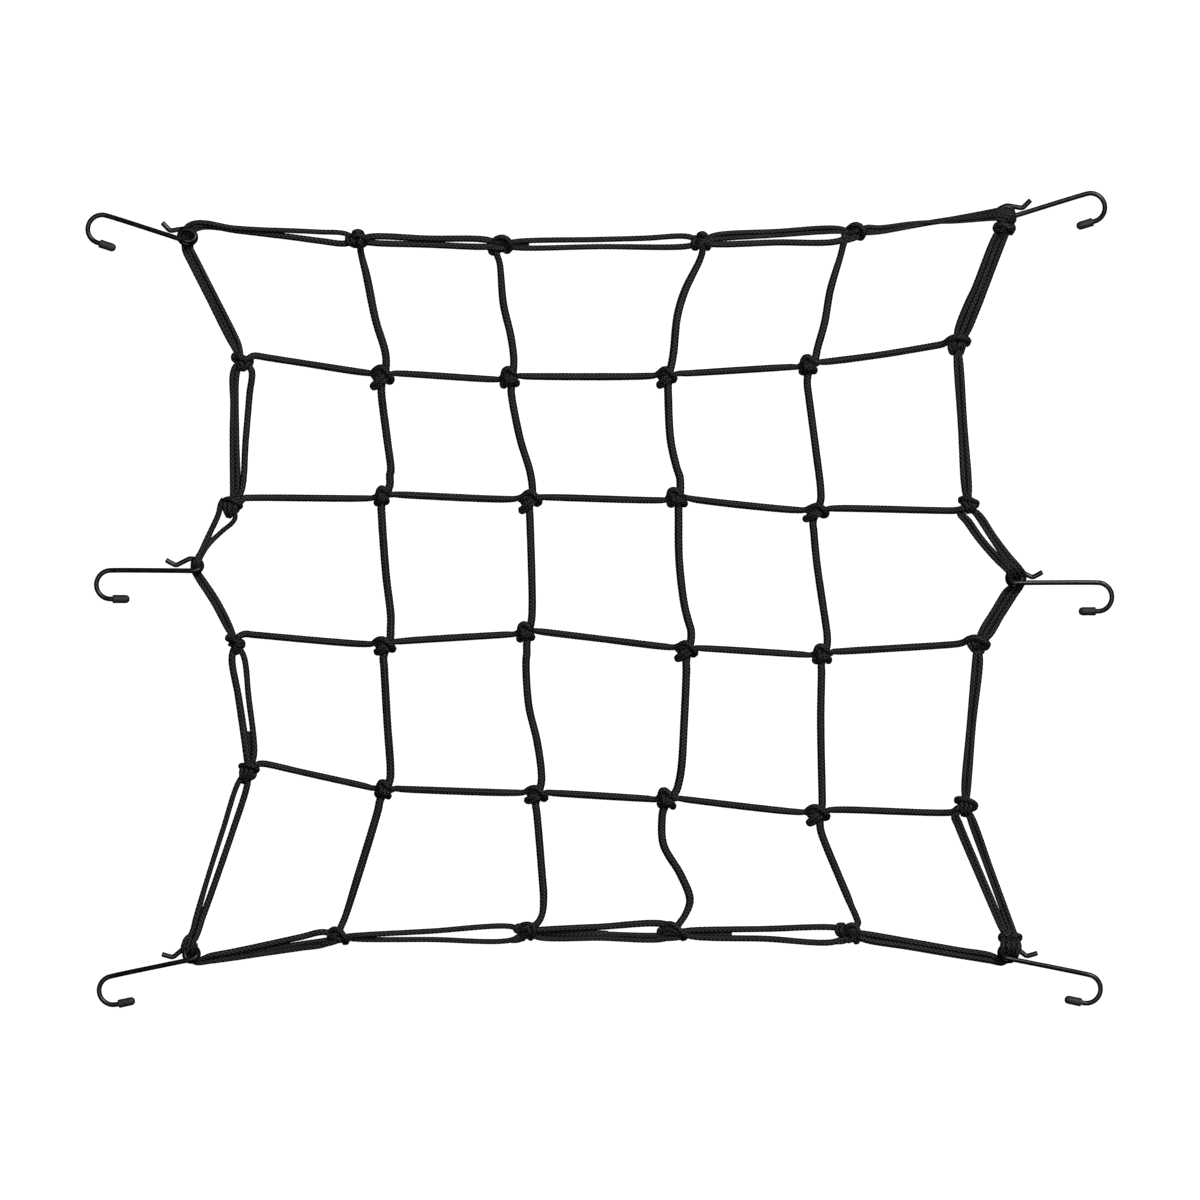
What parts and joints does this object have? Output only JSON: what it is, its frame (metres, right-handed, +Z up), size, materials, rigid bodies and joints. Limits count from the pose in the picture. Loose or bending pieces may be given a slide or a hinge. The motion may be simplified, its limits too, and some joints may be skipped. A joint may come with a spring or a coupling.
{
  "type": "cargo net",
  "caption": "Knotted elastic cargo net lying flat: a square mesh of round cord inside a taut border cord, with rubber-tipped bent wire hooks at its corners and sides.",
  "frame": {"origin": "on the ground, under the centre of the whole object's outline seen from above", "axes": "+X from the left hooks to the right hooks, +Y towards the top edge of the picture, +Z up from the ground"},
  "size_m": [0.5144, 0.4088, 0.0107],
  "materials": {
    "black_elastic_cord": "matte braided",
    "black_coated_wire": "gloss",
    "black_rubber": "matte"
  },
  "bodies": {
    "root": {"net": "black_elastic_cord", "hook_tl": "black_coated_wire", "hook_tr": "black_coated_wire", "hook_lm": "black_coated_wire", "hook_rm": "black_coated_wire", "hook_bl": "black_coated_wire", "hook_br": "black_coated_wire", "tip_tl": "black_rubber", "tip_tr": "black_rubber", "tip_lm": "black_rubber", "tip_rm": "black_rubber", "tip_bl": "black_rubber", "tip_br": "black_rubber"}
  },
  "joints": []
}
